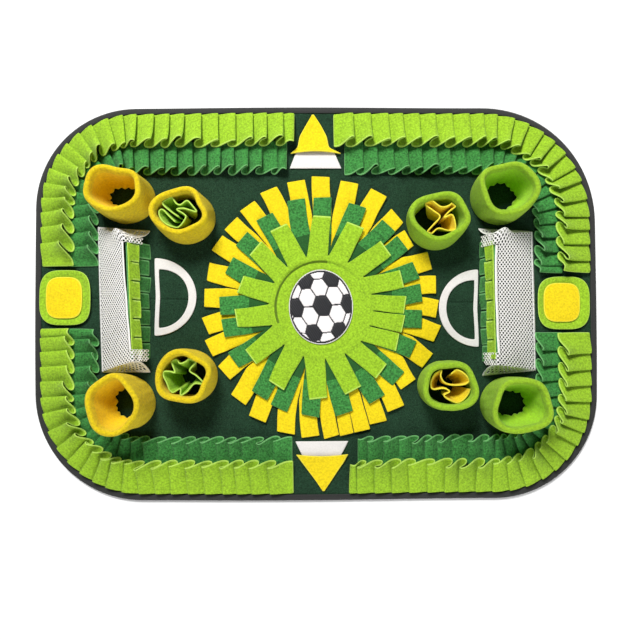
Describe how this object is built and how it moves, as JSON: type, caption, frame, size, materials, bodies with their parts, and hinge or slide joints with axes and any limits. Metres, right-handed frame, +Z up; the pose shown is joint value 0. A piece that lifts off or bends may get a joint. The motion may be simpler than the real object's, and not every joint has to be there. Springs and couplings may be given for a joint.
{
  "type": "snuffle mat",
  "caption": "Rounded felt dog snuffle mat styled as a soccer pitch, with pleated fleece edges, cloth cups, net goals and a slit-fleece flower around a ball patch.",
  "frame": {"origin": "on the surface, under the middle of the mat", "axes": "+X along the long side, towards the lime cups; +Y along the short side, towards the side with the raised flag; +Z up"},
  "size_m": [0.6999, 0.4904, 0.0592],
  "materials": {
    "felt_base": "dark green needle felt",
    "edge_tape": "woven polyester tape",
    "fleece_lime": "lime polar fleece",
    "fleece_green": "mid green polar fleece",
    "fleece_yellow": "yellow polar fleece",
    "felt_white": "white felt with black thread on the patch",
    "net": "white knitted net"
  },
  "bodies": {
    "root": {"base_mat": "felt_base", "edge_binding": "edge_tape", "ruffle_outer_tl": "fleece_lime", "ruffle_outer_tr": "fleece_lime", "ruffle_outer_bl": "fleece_lime", "ruffle_outer_br": "fleece_lime", "ruffle_inner_tl": "fleece_green", "ruffle_inner_tr": "fleece_green", "ruffle_inner_bl": "fleece_green", "ruffle_inner_br": "fleece_green", "cup_large_tl": "fleece_yellow", "cup_small_tl": "fleece_yellow", "cup_insert_tl": "fleece_lime", "cup_large_tr": "fleece_lime", "cup_small_tr": "fleece_lime", "cup_insert_tr": "fleece_yellow", "cup_large_bl": "fleece_yellow", "cup_small_bl": "fleece_yellow", "cup_insert_bl": "fleece_lime", "cup_large_br": "fleece_lime", "cup_small_br": "fleece_lime", "cup_insert_br": "fleece_yellow", "flower_yellow": "fleece_yellow", "flower_green": "fleece_green", "flower_lime": "fleece_lime", "ball_patch": "felt_white", "goal_net_left": "net", "goal_fringe_green_left": "fleece_green", "goal_fringe_lime_left": "fleece_lime", "arc_line_left": "felt_white", "side_pad_left": "fleece_lime", "side_pad_top_left": "fleece_yellow", "goal_net_right": "net", "goal_fringe_green_right": "fleece_green", "goal_fringe_lime_right": "fleece_lime", "arc_line_right": "felt_white", "side_pad_right": "fleece_lime", "side_pad_top_right": "fleece_yellow", "flag_yellow_top": "fleece_yellow", "flag_white_top": "felt_white", "flag_yellow_bottom": "fleece_yellow", "flag_white_bottom": "felt_white"}
  },
  "joints": []
}
